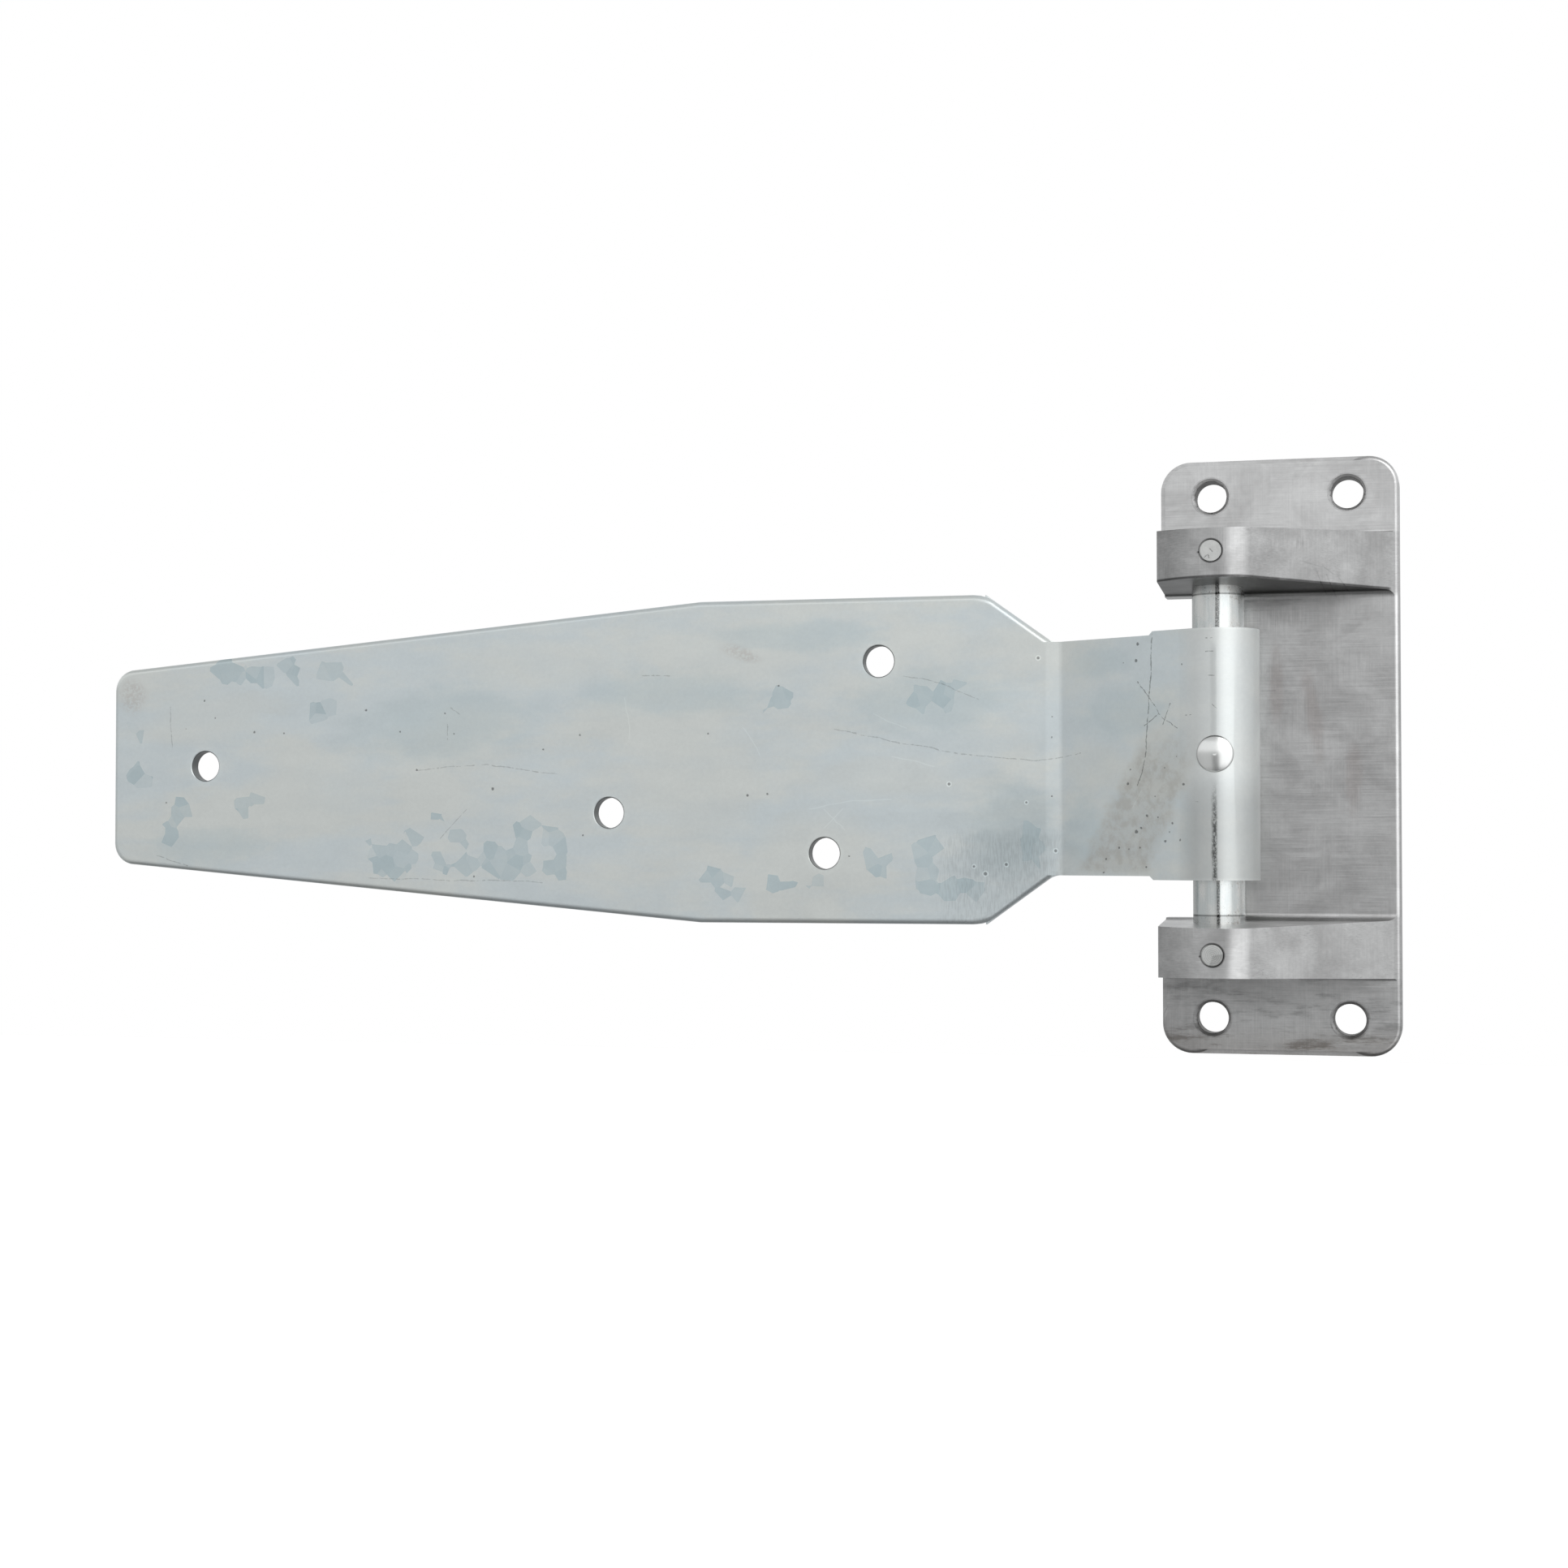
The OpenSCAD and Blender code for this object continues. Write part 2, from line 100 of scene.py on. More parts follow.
class Nodes:
    """A node tree that is written as expressions."""

    def __init__(self, tree):
        self.tree = tree

    def feed(self, socket, value):
        """Links a value to a socket, or sets the socket to a constant."""
        if isinstance(value, Value):
            self.tree.links.new(value.socket, socket)
        else:
            socket.default_value = value

    def node(self, kind, settings=(), output=0, **sockets):
        """Adds a node: its settings first, then the values or links of its sockets."""
        new = self.tree.nodes.new(kind)
        for key, value in dict(settings).items():
            setattr(new, key, value)
        for key, value in sockets.items():
            self.feed(new.inputs[key.replace("_", " ")], value)
        return Value(self, new.outputs[output])

    def math(self, operation, *values):
        """A Math node."""
        new = self.tree.nodes.new("ShaderNodeMath")
        new.operation = operation
        for socket, value in zip(new.inputs, values):
            self.feed(socket, value)
        return Value(self, new.outputs[0])

    def vector(self, operation, *values, output="Vector", **sockets):
        """A Vector Math node."""
        new = self.tree.nodes.new("ShaderNodeVectorMath")
        new.operation = operation
        for socket, value in zip(new.inputs, values):
            self.feed(socket, value)
        for key, value in sockets.items():
            self.feed(new.inputs[key], value)
        return Value(self, new.outputs[output])

    def step(self, value, low, high):
        """Smooth step from 0 to 1 while value goes from low to high, also where low is the larger."""
        bottom, top = 0.0, 1.0
        if low > high:
            low, high, bottom, top = high, low, top, bottom
        settings = {"interpolation_type": "SMOOTHSTEP", "clamp": False}
        return self.node(
            "ShaderNodeMapRange", settings, Value=value,
            From_Min=low, From_Max=high, To_Min=bottom, To_Max=top,
        )

    def band(self, value, low, high, soft):
        """1 between low and high, fading to 0 over soft outside them."""
        return self.step(value, low - soft, low) * self.step(value, high + soft, high)

    def split(self, vector):
        """X, Y and Z of a vector."""
        new = self.tree.nodes.new("ShaderNodeSeparateXYZ")
        self.feed(new.inputs[0], vector)
        return [Value(self, o) for o in new.outputs]


class Paint(Nodes):
    """One material, with X, Y and Z of the object in millimetres."""

    def __init__(self, name, metallic=1.0):
        self.material = bpy.data.materials.new(name)
        self.material.use_nodes = True
        super().__init__(self.material.node_tree)
        self.shader = self.tree.nodes["Principled BSDF"]
        self.shader.inputs["Metallic"].default_value = metallic
        place = self.node("ShaderNodeTexCoord", output="Object")
        self.place = self.vector("SCALE", place, Scale=1 / MM)
        self.x, self.y, self.z = self.split(self.place)
        self.flat = self.vector("MULTIPLY", self.place, (1, 0, 1))

    def noise(self, size, stretch=(1, 1, 1), detail=3.0, rough=0.5, warp=0.0, shift=(0, 0, 0)):
        """Noise with blotches of that size in mm, stretched along each axis."""
        scale = [1 / (size * s) for s in stretch]
        place = self.vector("MULTIPLY_ADD", self.place, scale, shift)
        return self.node(
            "ShaderNodeTexNoise", output="Fac", Vector=place,
            Scale=1.0, Detail=detail, Roughness=rough, Distortion=warp,
        )

    def cells(self, size):
        """Angular cells of that size: a random shade for each, and its middle in mm."""
        place = self.vector("SCALE", self.place, Scale=1 / size)
        shade = self.node("ShaderNodeTexVoronoi", output="Color", Vector=place, Scale=1.0)
        centre = Value(self, shade.socket.node.outputs["Position"])
        shade = self.vector("DOT_PRODUCT", shade, (1, 0, 0), output="Value")
        return shade, self.vector("MULTIPLY", centre, (size, 0, size))

    def mix(self, share, first, second):
        """From the first colour to the second as share goes from 0 to 1."""
        new = self.tree.nodes.new("ShaderNodeMix")
        new.data_type = "RGBA"
        self.feed(new.inputs["Factor"], share)
        colours = [s for s in new.inputs if s.type == "RGBA"]
        for socket, colour in zip(colours, (first, second)):
            self.feed(socket, colour if isinstance(colour, Value) else (*colour, 1.0))
        return Value(self, [s for s in new.outputs if s.type == "RGBA"][0])

    def shade(self, colour, factor):
        """A colour made lighter or darker by a value."""
        return self.vector("SCALE", colour, Scale=factor)

    def least(self, values):
        """The smallest of some values. Each is compared as soon as its nodes are made."""
        # Cycles can't hold many values at once: a list of distances renders black
        low = None
        for value in values:
            low = self.math("MINIMUM", low, value) if low else value
        return low

    def to_spots(self, spots):
        """Distance in mm to the rim of the nearest of some round spots, given as x, z and radius."""
        return self.least(
            self.vector("DISTANCE", self.flat, (x, 0, z), output="Value") - size
            for x, z, size in spots
        )

    def to_lines(self, lines, place):
        """Distance in mm to the nearest of some lines, each given by points x, z on the front."""
        runs = [ends for line in lines for ends in zip(line, line[1:])]
        return self.least(self.to_run(place, *ends) for ends in runs)

    def to_run(self, place, start, end):
        """Distance in mm to a straight run between two points on the front."""
        run = Vector((end[0] - start[0], 0, end[1] - start[1]))
        off = self.vector("SUBTRACT", place, (start[0], 0, start[1]))
        along = self.vector("DOT_PRODUCT", off, run / run.length_squared, output="Value")
        along = self.math("MINIMUM", self.math("MAXIMUM", along, 0.0), 1.0)
        nearest = self.vector("SCALE", run, Scale=along)
        return self.vector("DISTANCE", off, nearest, output="Value")

    def to_ovals(self, ovals, place=None):
        """0 in the middle and 1 at the rim of the nearest of some ovals."""
        return self.least(self.to_oval(place or self.flat, *oval) for oval in ovals)

    def to_oval(self, place, x, z, wide, tall, tilt):
        """0 in the middle of an oval and 1 at its rim: half width, half height, tilt in degrees."""
        off = self.vector("SUBTRACT", place, (x, 0, z))
        if tilt:
            turn = {"rotation_type": "Y_AXIS"}
            off = self.node("ShaderNodeVectorRotate", turn, Vector=off, Angle=math.radians(tilt))
        off = self.vector("MULTIPLY", off, (1 / wide, 0, 1 / tall))
        return self.vector("LENGTH", off, output="Value")

    def side_of(self, start, end):
        """Distance in mm to the left of a straight line from start to end on the front."""
        run = Vector((end[0] - start[0], 0, end[1] - start[1])).normalized()
        off = self.vector("SUBTRACT", self.flat, (start[0], 0, start[1]))
        return self.vector("DOT_PRODUCT", off, (-run.z, 0, run.x), output="Value")

    def finish(self, colour, roughness, height=None, bump=0.0, distance=0.0):
        """Feeds the shader. The bump is as deep as distance says, in mm."""
        self.feed(self.shader.inputs["Base Color"], colour)
        self.feed(self.shader.inputs["Roughness"], roughness)
        if height is not None:
            normal = self.node(
                "ShaderNodeBump", output="Normal",
                Strength=bump, Distance=distance * MM, Height=height,
            )
            self.feed(self.shader.inputs["Normal"], normal)
        return self.material


# Angular patches where the plating took darker: x, z, half width, half height, tilt
FLAKES = [
    (-320, -35, 8.4, 5.6, 0), (-301, -36, 5.6, 3.6, 0), (-292, -36.5, 3.6, 3, 0), (-282, -36, 4, 5, 0),
    (-272, -37.8, 5.6, 4, 0), (-270, -27, 4, 9, -25), (-257.6, -37.4, 5.6, 4.4, 0),
    (-257, -27, 4.6, 4.4, 0), (-385, 35.4, 15, 3.2, -8), (-361, 35.5, 2.6, 3.6, 0),
    (-345, 34.4, 6.8, 2.8, -28), (-423.5, 13.4, 3.4, 2.8, 0), (-422.7, -2, 3.8, 3.6, 0),
    (-409, -22, 3.4, 10.5, -28), (-378.5, -13.8, 6, 3.2, 38), (-196.6, -41, 5.4, 3.2, 15),
    (-178, -44.4, 19, 1.7, 8), (-137.3, -36.7, 2.8, 6.4, 32), (-121, -33.5, 4.4, 6.4, 15),
    (-113, -44.2, 11.5, 3.4, 0), (-175.5, 20.4, 8.5, 3.4, 35), (-118, 21.5, 10, 4.6, 20),
    (-84, -29, 4.5, 6.5, 20), (-300, -21, 7, 1.6, -38), (-425, 2, 2.4, 3, 0),
    (-314, -25.5, 3.5, 1.5, -25), (-330, -27, 5, 2, 0), (-292, -29, 3.2, 1, 0), (-350, 20, 5, 2.4, 20),
]
# Bluer clouds of the plating, in the same form
BLUE_CLOUDS = [
    (-50, 15, 17, 10, 8), (-66, -25, 8, 13, 0), (-26.5, -27, 3.5, 11, 0), (-60, 32, 13, 6, 0),
    (-300, 14, 40, 15, 6), (-215, 24, 36, 9, 0), (-118, 20, 34, 12, 0), (-92, -24, 17, 18, 0),
    (-395, -30, 28, 8, 0), (-165, 44, 30, 6, 0),
]
# Warm clouds of the plating, in the same form
WARM_CLOUDS = [
    (-62, -3, 11, 9, 0), (-395, 18, 32, 8, 10), (-350, -10, 24, 14, 0), (-190, 36, 24, 10, 0),
    (-205, -8, 26, 20, 0), (-135, -5, 24, 8, 0), (-70, -38, 6, 8, 0), (-262, 36, 28, 10, 0),
    (-160, -30, 22, 14, 0),
]
# Brownish smudges on the leaf, in the same form
SMUDGES = [(-187.5, 38, 10, 3, -20), (-426, 27, 7, 9, 0)]
# Small pits with a light rim: x, z, radius
PITS = [
    (-81.8, 34.6, 0.5), (-93, -36.3, 0.5), (-100.3, -39.5, 0.6), (-104.3, -37, 0.4), (-75.9, -31.6, 0.5),
    (-17.9, -20.8, 0.5), (-86, -15, 0.35), (-113, -8.5, 0.5),
]
# Dark specks on the strap: x, z, radius
SPECKS = [
    (-77.1, 14.4, 0.25), (-77.1, 7.4, 0.3), (-77.2, -12.9, 0.3), (-281.4, -9.1, 0.5), (-246.8, -26, 0.35),
    (-288.5, -40.9, 0.35), (-45.6, 37.4, 0.55), (-46.1, 31.9, 0.5), (-50.7, 31.4, 0.3), (-30, 29.7, 0.3),
    (-29.5, -9.7, 0.45), (-49.4, -9.2, 0.45), (-48.4, -4.5, 0.3), (-32, -0.6, 0.25), (-36.1, -4.2, 0.3),
    (-42.5, -19.9, 0.45), (-46.3, -25.3, 0.6), (-57.3, -34.3, 0.4), (-42.8, -37, 0.35),
    (-58.2, -38.9, 0.4), (-30.8, -28.1, 0.35), (-38.5, -20.5, 0.3), (-44.6, -24, 0.3),
    (-33.5, -22.5, 0.35), (-34.5, -25.5, 0.3), (-49, -31, 0.3), (-52.5, -30.5, 0.45), (-45, -30.5, 0.4),
    (-39.5, -13.5, 0.25), (-36, -28.5, 0.4), (-7.5, 11.1, 0.3), (-9.4, -13.7, 0.3), (-9.3, -27.5, 0.25),
    (-185.5, -12, 0.4), (-178.2, -11.5, 0.45), (-148.5, -33.5, 0.4), (-331, 20, 0.45), (-317.5, 12, 0.3),
    (-300, 18.5, 0.3), (-376, 12.5, 0.5), (-364, 12, 0.3), (-296.5, 11, 0.4), (-311, -2, 0.35),
    (-262, 5, 0.3), (-248, 10, 0.3), (-412, -13.5, 0.4), (-396.5, 24.5, 0.35), (-392, 18, 0.3),
    (-404, 14, 0.3), (-174, 26.5, 0.35), (-200, 10, 0.3),
]
# Dark scratches of the strap, each through points x, z
DARK_SCRATCHES = [
    [(-40.5, 40.7), (-41.1, 22.7), (-42.3, 10.2), (-42.7, 0.3), (-44.3, -5.9), (-46.3, -10.9)],
    [(-45.6, 24.8), (-40.8, 19.1), (-38.3, 13.6), (-43.3, 10)], [(-38.3, 13.6), (-31.8, 8.6)],
    [(-34.1, 17), (-36.6, 10.4)], [(-28.8, 13.2), (-26.8, 13.2)], [(-25.4, -15.3), (-23.8, -15.3)],
    [(-21.6, 38.1), (-19.6, 38.1)], [(-21.8, 33.5), (-19.4, 33.5)], [(-21, 25.7), (-19, 25.7)],
    [(-19.6, 16.4), (-18.8, 15.5), (-18.1, 14.6)], [(-9.3, 11.6), (-9.3, -2.1)],
    [(-153.8, 10.8), (-109.9, 2), (-81.6, -0.6), (-72.2, 0.7), (-66.5, 1.9)],
    [(-311.5, -1.8), (-283.6, -0.3), (-256.2, -3.7)], [(-301.5, -26.8), (-291.4, -16.5)],
    [(-129.1, 29.2), (-116, 26.5), (-102.8, 20.6)], [(-410.5, 22.5), (-409.8, 6.9)],
    [(-415.6, -33.3), (-403.1, -37.3)], [(-330, -41.5), (-286, -42.2), (-262, -43)],
    [(-298, 20.6), (-293.5, 17.5)], [(-299, 14.5), (-299, 9)], [(-225, 31), (-214, 30.8)],
]
# Light scratches of the strap, in the same form
LIGHT_SCRATCHES = [
    [(-157.4, -17), (-150.1, -24.1)], [(-150.9, -17), (-157.4, -23.5)],
    [(-162.9, -17), (-148, -14), (-133.5, -13.7)], [(-231, 23.4), (-229.6, 16), (-229.1, 8.8)],
    [(-187, 12), (-181, 2)], [(-44.3, -11.5), (-47.5, -17)], [(-133, 1.5), (-118, -2)],
    [(-140, 16), (-128, 11)],
]
# Faint scratches of the plate and of the upper arm, in the same form
BRACKET_SCRATCHES = [
    [(-5.7, 21.9), (-1.2, 21.9)], [(0.5, 21.6), (3.9, 21.8)], [(15.4, 61.2), (18.9, 58.6), (21, 58.5)],
    [(13.5, 59.5), (15.5, 53.8)], [(16.5, 58.6), (18.8, 52.6)], [(20.4, 57.6), (22.7, 54.4)],
    [(8.8, 62.6), (14.2, 61.2)],
]
# Upright reddish smudges of the plate: x, z, half width, half height, tilt
PLATE_SMUDGES = [(11, 14, 3, 17, 8), (-1, 24, 2.5, 14, 0), (24, -8, 3, 14, 0)]
# Brightly brushed places on the plate and on the upper arm, in the same form
BRIGHT_PLACES = [(1, 46, 13, 5, 0), (6.2, 68.1, 9, 3.6, 0)]


def zinc_strap():
    """Pale blue zinc plating with clouds, darker flakes, scratches, specks and a brown stain, with
    painted light and shade on the neck, the knuckle and the hole walls.
    """
    p = Paint("zinc_strap", metallic=0.8)
    wide = p.noise(34, stretch=(2.4, 1, 0.8), detail=3, rough=0.55, warp=0.5)
    mid = p.noise(9, stretch=(1.9, 1, 0.8), detail=4, rough=0.6, shift=(3, 1, 7))
    fine = p.noise(1.3, detail=4, rough=0.65, shift=(5, 2, 8))
    band = p.noise(11, stretch=(14, 1, 1), detail=2, shift=(1, 4, 2))
    depth = p.y + p.math("MAXIMUM", p.x - CREASE_X, 0.0) * NECK_SLOPE
    front = p.step(depth, 0.3 - SHEET_T / 2, -0.3 - SHEET_T / 2)
    knuckle = p.step(p.x, PIN_X - 14, PIN_X - 6)
    edge = (mid - 0.5) * 0.9
    cool, warm, blue = (0.725, 0.785, 0.80), (0.765, 0.79, 0.765), (0.60, 0.69, 0.71)
    worn, slate = (0.76, 0.775, 0.76), (0.51, 0.61, 0.64)
    brown, soiled = (0.53, 0.52, 0.485), (0.55, 0.52, 0.49)
    colour = p.mix(p.step(wide * 0.6 + mid * 0.25 + band * 0.15, 0.41, 0.59), cool, warm)
    colour = p.mix(p.step(p.to_ovals(WARM_CLOUDS) + edge, 1.15, 0.55) * 0.55, colour, warm)
    colour = p.mix(p.step(p.to_ovals(BLUE_CLOUDS) + edge, 1.2, 0.5) * 0.42, colour, blue)
    neck = p.band(p.x, CREASE_X, PIN_X - 12, 0.3)

    # The brown stain runs across the neck's lower half, between two slanting borders
    ragged = (mid - 0.5) * 9 + (fine - 0.5) * 2
    stain = p.step(ragged - p.side_of((-68.2, -37.6), (-48.3, -0.3)), -1, 4)
    stain = stain * p.step(p.side_of((-39.7, -36.5), (-27.4, -9.7)) + ragged, -1, 4)
    stain = stain * p.step(p.z, 14, -4) * p.step(p.z, -40.5, -37) * front
    blots = p.step(p.noise(3.4, detail=4, rough=0.65, shift=(2, 2, 2)), 0.4, 0.66)
    colour = p.mix(stain * (0.4 + blots * 0.34), colour, brown)
    colour = p.mix(knuckle * 0.75, colour, worn)

    # Painted light: the neck is painted lighter, with a painted highlight on the crease and a painted
    # shadow on the leaf beside it
    crease_highlight = p.band(p.x, CREASE_X - 4.4, CREASE_X - 0.4, 1.6)
    shadow = p.step(p.to_ovals([(-90, -32, 27, 25, 0)]) + edge * 0.6, 1.2, 0.0)
    light = 1.0 + crease_highlight * 0.07 - shadow * 0.15 + neck * 0.03

    # Angular flakes, and the fine vertical grain beside the lower shoulder
    shade, centre = p.cells(4.6)
    flake = p.step(p.to_ovals(FLAKES, place=centre), 1.05, 0.95) * front * p.step(p.x, -70, -76)
    colour = p.mix(flake * (0.46 + shade * 0.4), colour, slate)
    grain = p.noise(0.55, stretch=(1, 1, 7), detail=2, shift=(4, 4, 4))
    grained = p.band(p.x, -112, -78, 8) * p.band(p.z, -58, -30, 8)
    light = light - grained * p.step(grain, 0.42, 0.62) * 0.10 + (fine - 0.5) * 0.12
    light = light + (mid - 0.5) * 0.09 + (band - 0.5) * 0.08
    smudge = p.step(p.to_ovals(SMUDGES) + edge, 1.1, 0.3)
    colour = p.mix(smudge * p.step(fine, 0.35, 0.62) * 0.5 * front, colour, soiled)

    # Scratches that wander and break off, specks, and pits with a light rim
    gaps = p.step(p.noise(1.6, detail=3, shift=(7, 1, 3)), 0.36, 0.5)
    leaf = p.step(p.x, -50, -58)
    wander = p.vector("SCALE", (1.5, 0, 2.5), Scale=mid - 0.5)
    wander = p.vector("ADD", p.flat, wander)
    dark = p.to_lines(DARK_SCRATCHES, wander) + (fine - 0.5) * 0.5
    dark = p.step(dark, 0.22, 0.04) * gaps * (0.55 - leaf * 0.27)
    pale = p.step(p.to_lines(LIGHT_SCRATCHES, wander) + (fine - 0.5) * 0.4, 0.3, 0.05) * 0.08
    specks = p.step(p.to_spots(SPECKS) + (fine - 0.5) * 1.1, 0.12, -0.18) * 0.62
    pits = p.to_spots(PITS)
    rims = p.step(abs(pits - 0.28), 0.3, 0.08) * 0.22
    pits = p.step(pits, 0.1, -0.15) * 0.5
    marks = (dark + specks + pits) * front
    light = light * (1.0 - marks) + (pale + rims) * front

    # A painted dark reflection down the knuckle's crest, grainy below, lighter rims at its ends, and
    # painted shade on its lower half
    grit = p.noise(0.6, stretch=(1, 1, 1.6), detail=3, rough=0.7, shift=(1, 9, 5))
    below = p.band(p.x + (mid - 0.5) * 1.6, PIN_X - 0.2, PIN_X + 1.6, 1.3) * p.step(p.z, -6, -22)
    above = p.band(p.x + (mid - 0.5), PIN_X - 0.5, PIN_X + 1.2, 1.4) * p.band(p.z, 8, 33, 5)
    knuckle_reflection = (below * (0.3 + p.step(grit, 0.38, 0.56) * 0.5) + above * 0.16) * front
    rim = p.step(abs(p.z), KNUCKLE_END - 1, KNUCKLE_END - 0.3) * knuckle
    # Painted shade: the knuckle's lower half is darkened
    low = knuckle * p.step(p.z, -4, -18)
    light = light * (1.0 - knuckle_reflection) * (1.0 - low * 0.2) + rim * 0.06

    # Painted shade on the walls of the holes, with a light halo round each
    hole = p.to_spots([(x, z, STRAP_HOLE_R) for x, z in STRAP_HOLES])
    halo = p.step(hole + (mid - 0.5) * 3, 3.2, 0.6) * front
    light = (light + halo * 0.03) * (1.0 - p.step(hole, 0.3, 0.05) * 0.8)
    rough = 0.38 + (mid - 0.5) * 0.12 + (fine - 0.5) * 0.12
    rough = rough + flake * 0.06 + stain * 0.14 + knuckle * 0.03
    height = (fine * 0.35 + mid * 0.9) * (1.0 - knuckle * 0.85)
    return p.finish(p.shade(colour, light), rough, height, bump=0.5, distance=0.03)


def cast_bracket():
    """Ground cast steel: brushed by hand in patches, with brown dirt on the lower tab, painted light on
    the tabs, the arms and the right rim, and painted shade below the upper arm and on the walls of its
    holes.
    """
    p = Paint("cast_bracket")
    across = p.noise(0.32, stretch=(45, 3, 1), detail=3, rough=0.6)
    upright = p.noise(0.4, stretch=(1, 3, 32), detail=3, rough=0.6, shift=(3, 3, 3))
    cloud = p.noise(19, stretch=(1.2, 1, 1), detail=5, rough=0.6, warp=0.6, shift=(2, 5, 1))
    patch = p.noise(12, detail=4, rough=0.6, shift=(8, 5, 4))
    fine = p.noise(1.2, detail=4, rough=0.65, shift=(1, 2, 9))
    brush = p.step(patch, 0.42, 0.58)
    streaks = across * (1.0 - brush * 0.6) + upright * brush * 0.6

    # The parts of the casting: the plate's front, the arms, the upper and lower tab, the plate between
    front = p.step(p.y, 2.2 - PLATE_T, 1.2 - PLATE_T)
    arms = p.band(abs(p.z), ARM_IN, ARM_OUT, 0.3) * p.step(p.y, -PLATE_T - 0.4, -PLATE_T - 1)
    tab = p.step(p.z, ARM_OUT - 0.3, ARM_OUT + 0.5) * front
    foot = p.step(-p.z, ARM_OUT - 0.3, ARM_OUT + 0.5) * front
    between = p.step(abs(p.z), ARM_IN - 0.5, ARM_IN - 2.5) * front
    dull, bare = (0.455, 0.45, 0.447), (0.575, 0.572, 0.568)
    reddish, brown, bore_shade = (0.46, 0.40, 0.38), (0.32, 0.285, 0.255), (0.18, 0.155, 0.135)
    colour = p.mix(p.step(cloud, 0.34, 0.66), dull, bare)
    light = 0.96 + (streaks - 0.5) * 0.5 + (fine - 0.5) * 0.2
    # Painted light: the upper tab is painted lighter; the lower tab and the arms are a little darker
    light = light + tab * 0.25 - foot * 0.08 - arms * 0.04
    # Painted light: the lower arm is painted lighter, and painted shade darkens both arms to the left
    light = light + arms * (p.step(p.z, 1, -1) * 0.15 - p.step(p.x, -23, -33) * 0.2)

    # Painted shade below the upper arm and on its underside, reddish smudges, and a painted highlight on
    # the rim at the right
    shade_below_arm = p.noise(4, stretch=(3, 1, 1), detail=5, rough=0.7, shift=(5, 7, 3))
    shade_below_arm = p.step(shade_below_arm * 9 + ARM_IN - p.z, 11, 4) * between * p.step(p.x, -14, -9) * p.step(p.x, 30, 4)
    rust = p.step(p.to_ovals(PLATE_SMUDGES) + (patch - 0.5) * 1.4, 1.2, 0.4)
    rust = rust * between * (0.5 + across * 0.5)
    underside_shade = p.step(p.z + p.y * ARM_DRAFT, ARM_IN + 0.4, ARM_IN - 0.1)
    underside_shade = underside_shade * p.step(p.z, 51, 54) * p.step(p.y, -PLATE_T - 0.6, -PLATE_T - 1.6)
    rim = p.band(p.x, PLATE_RIGHT - 1.5, PLATE_RIGHT - 0.7, 0.4) * between
    light = (light - shade_below_arm * 0.4 - rust * 0.07 + rim * 0.4) * (1.0 - underside_shade * 0.75)
    colour = p.mix(rust * 0.4, colour, reddish)

    # Brown and dark streaks on the lower tab, lighter clouds on the arms
    dirt = p.noise(5, stretch=(3.2, 1, 0.6), detail=5, rough=0.7, shift=(6, 1, 2))
    dirt = p.step(dirt, 0.48, 0.66)
    low = p.step(p.z, -88, -97)
    light = light - foot * dirt * 0.24
    colour = p.mix(foot * low * (0.25 + dirt * 0.5), colour, brown)
    pale = p.noise(6.5, stretch=(1.8, 1, 1), detail=5, rough=0.65, shift=(4, 8, 8))
    light = light + arms * p.step(pale, 0.47, 0.68) * 0.12

    # Faint scratches and brightly brushed places
    scratch = p.to_lines(BRACKET_SCRATCHES, p.flat) + (fine - 0.5) * 0.6
    scratch = p.step(scratch, 0.3, 0.0) * 0.14
    bright = p.step(p.to_ovals(BRIGHT_PLACES) + (patch - 0.5) * 1.6, 1.1, 0.2)
    light = light + bright * p.step(upright, 0.42, 0.62) * 0.14 - scratch * front

    # Bolt holes: painted shade on the walls, a bright turned chamfer and a dark ring outside it
    bolt = p.to_spots([(x, z, BOLT_R) for x, z in BOLTS])
    shaded_wall = p.step(bolt, 0.12, 0.02)
    chamfer = p.band(bolt, 0.35, 0.85, 0.15)
    worn = p.step(p.noise(2.4, detail=4, rough=0.7, shift=(3, 7, 1)), 0.45, 0.62)
    colour = p.mix(shaded_wall * (0.35 + worn * 0.5), colour, bore_shade)
    edge = p.step(abs(bolt - 1.1), 0.4, 0.1) * front
    light = light * (1.0 - shaded_wall * 0.55) + chamfer * 0.1 - edge * (0.14 + worn * 0.16)

    # A thin dark ring round each cross pin, with a nick at its left
    heads = p.to_spots([(x, z, CROSS_R) for x, z in CROSS_PINS])
    ring = p.step(abs(heads - 0.05), 0.42, 0.12) * p.step(p.y, 6 - ARM_CREST, 4 - ARM_CREST)
    nick = p.to_spots([(x - CROSS_R - 0.4, z - 0.4, 0.3) for x, z in CROSS_PINS])
    nick = p.step(nick, 0.2, -0.1)
    light = light * (1.0 - (ring * 0.62 + nick * 0.5) * arms)
    rough = 0.33 + (patch - 0.5) * 0.16 + (streaks - 0.5) * 0.16 + foot * 0.05 + shaded_wall * 0.15
    height = streaks * 0.5 + fine * 0.25 + cloud * 1.4 - scratch * 0.5
    return p.finish(p.shade(colour, light), rough, height, bump=0.45, distance=0.05)


